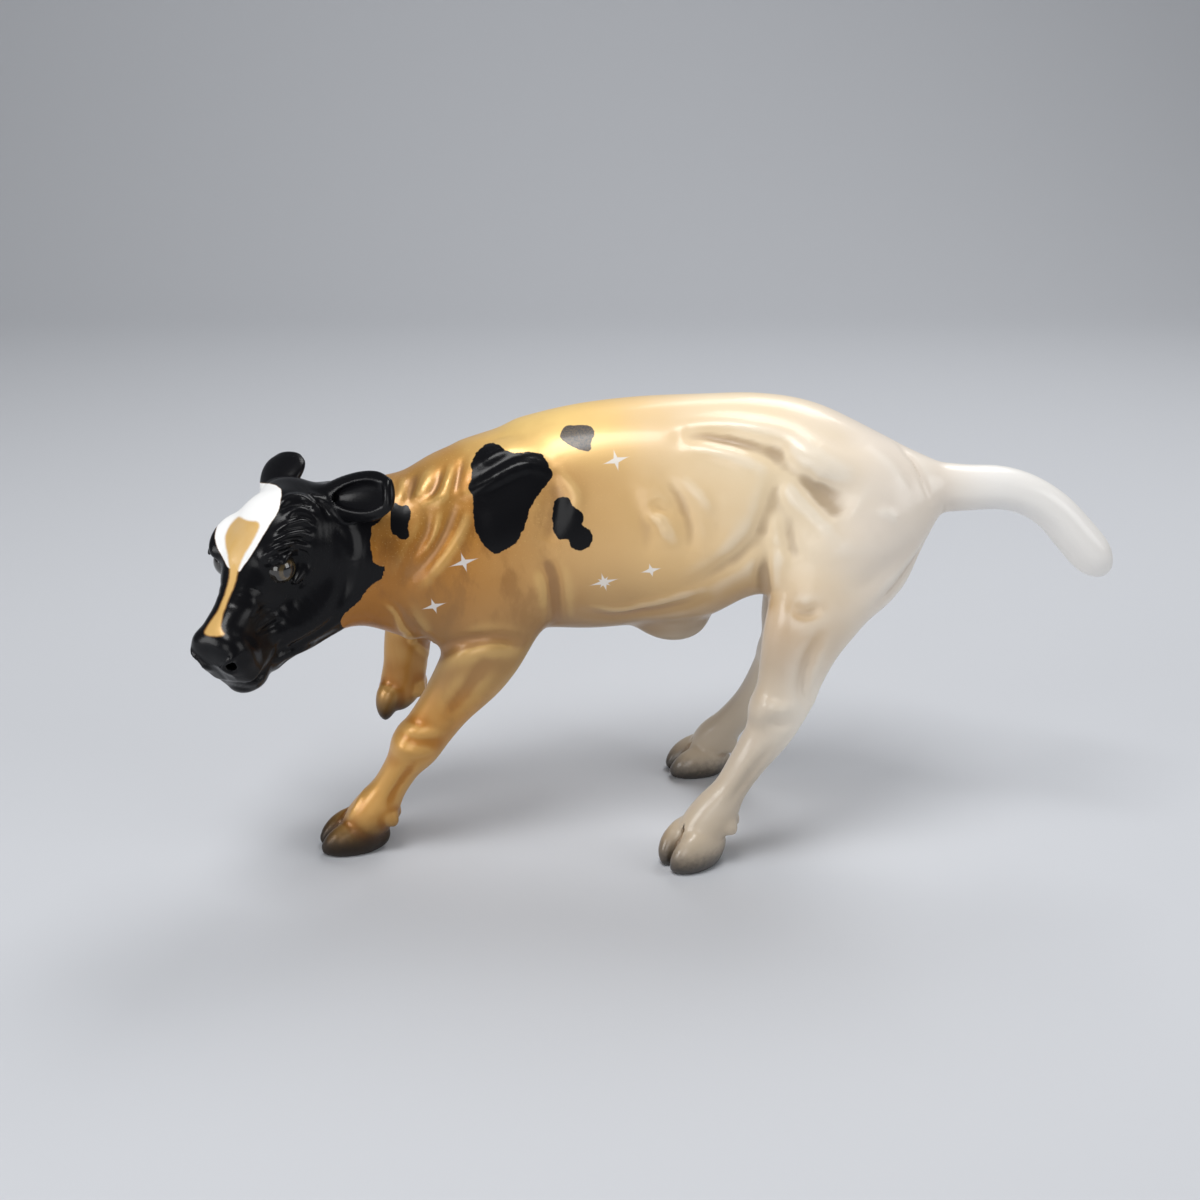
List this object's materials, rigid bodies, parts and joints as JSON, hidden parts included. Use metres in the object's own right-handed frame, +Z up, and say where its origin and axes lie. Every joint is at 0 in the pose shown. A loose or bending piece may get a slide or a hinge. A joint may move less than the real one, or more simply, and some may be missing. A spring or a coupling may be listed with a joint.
{
  "type": "calf figurine",
  "caption": "Hollow painted model of a calf in gold, cream and white with black patches, its head turned to the left, one foreleg lifted and its tail held out behind",
  "frame": {"origin": "on the surface that the hooves stand on, below the middle of the whole figurine", "axes": "+Z up, the calf heads towards -X and its left side is at -Y"},
  "size_m": [0.184, 0.0734, 0.0974],
  "materials": {
    "body_paint": "gold that fades to cream and pearl white, with black patches, under clear varnish",
    "head_paint": "satin black with a white and gold blaze",
    "gold_leg_paint": "metallic gold that darkens to bronze brown at the hooves",
    "pearl_leg_paint": "pearl cream that darkens to grey brown at the hooves",
    "white_tail_paint": "pearl white under clear varnish"
  },
  "bodies": {
    "root": {"trunk_left_shell": "body_paint", "trunk_right_shell": "body_paint", "head_left_shell": "head_paint", "head_right_shell": "head_paint", "ear_left": "head_paint", "ear_right": "head_paint", "foreleg_left": "gold_leg_paint", "foreleg_right": "gold_leg_paint", "hindleg_left": "pearl_leg_paint", "hindleg_right": "pearl_leg_paint", "tail": "white_tail_paint"}
  },
  "joints": []
}
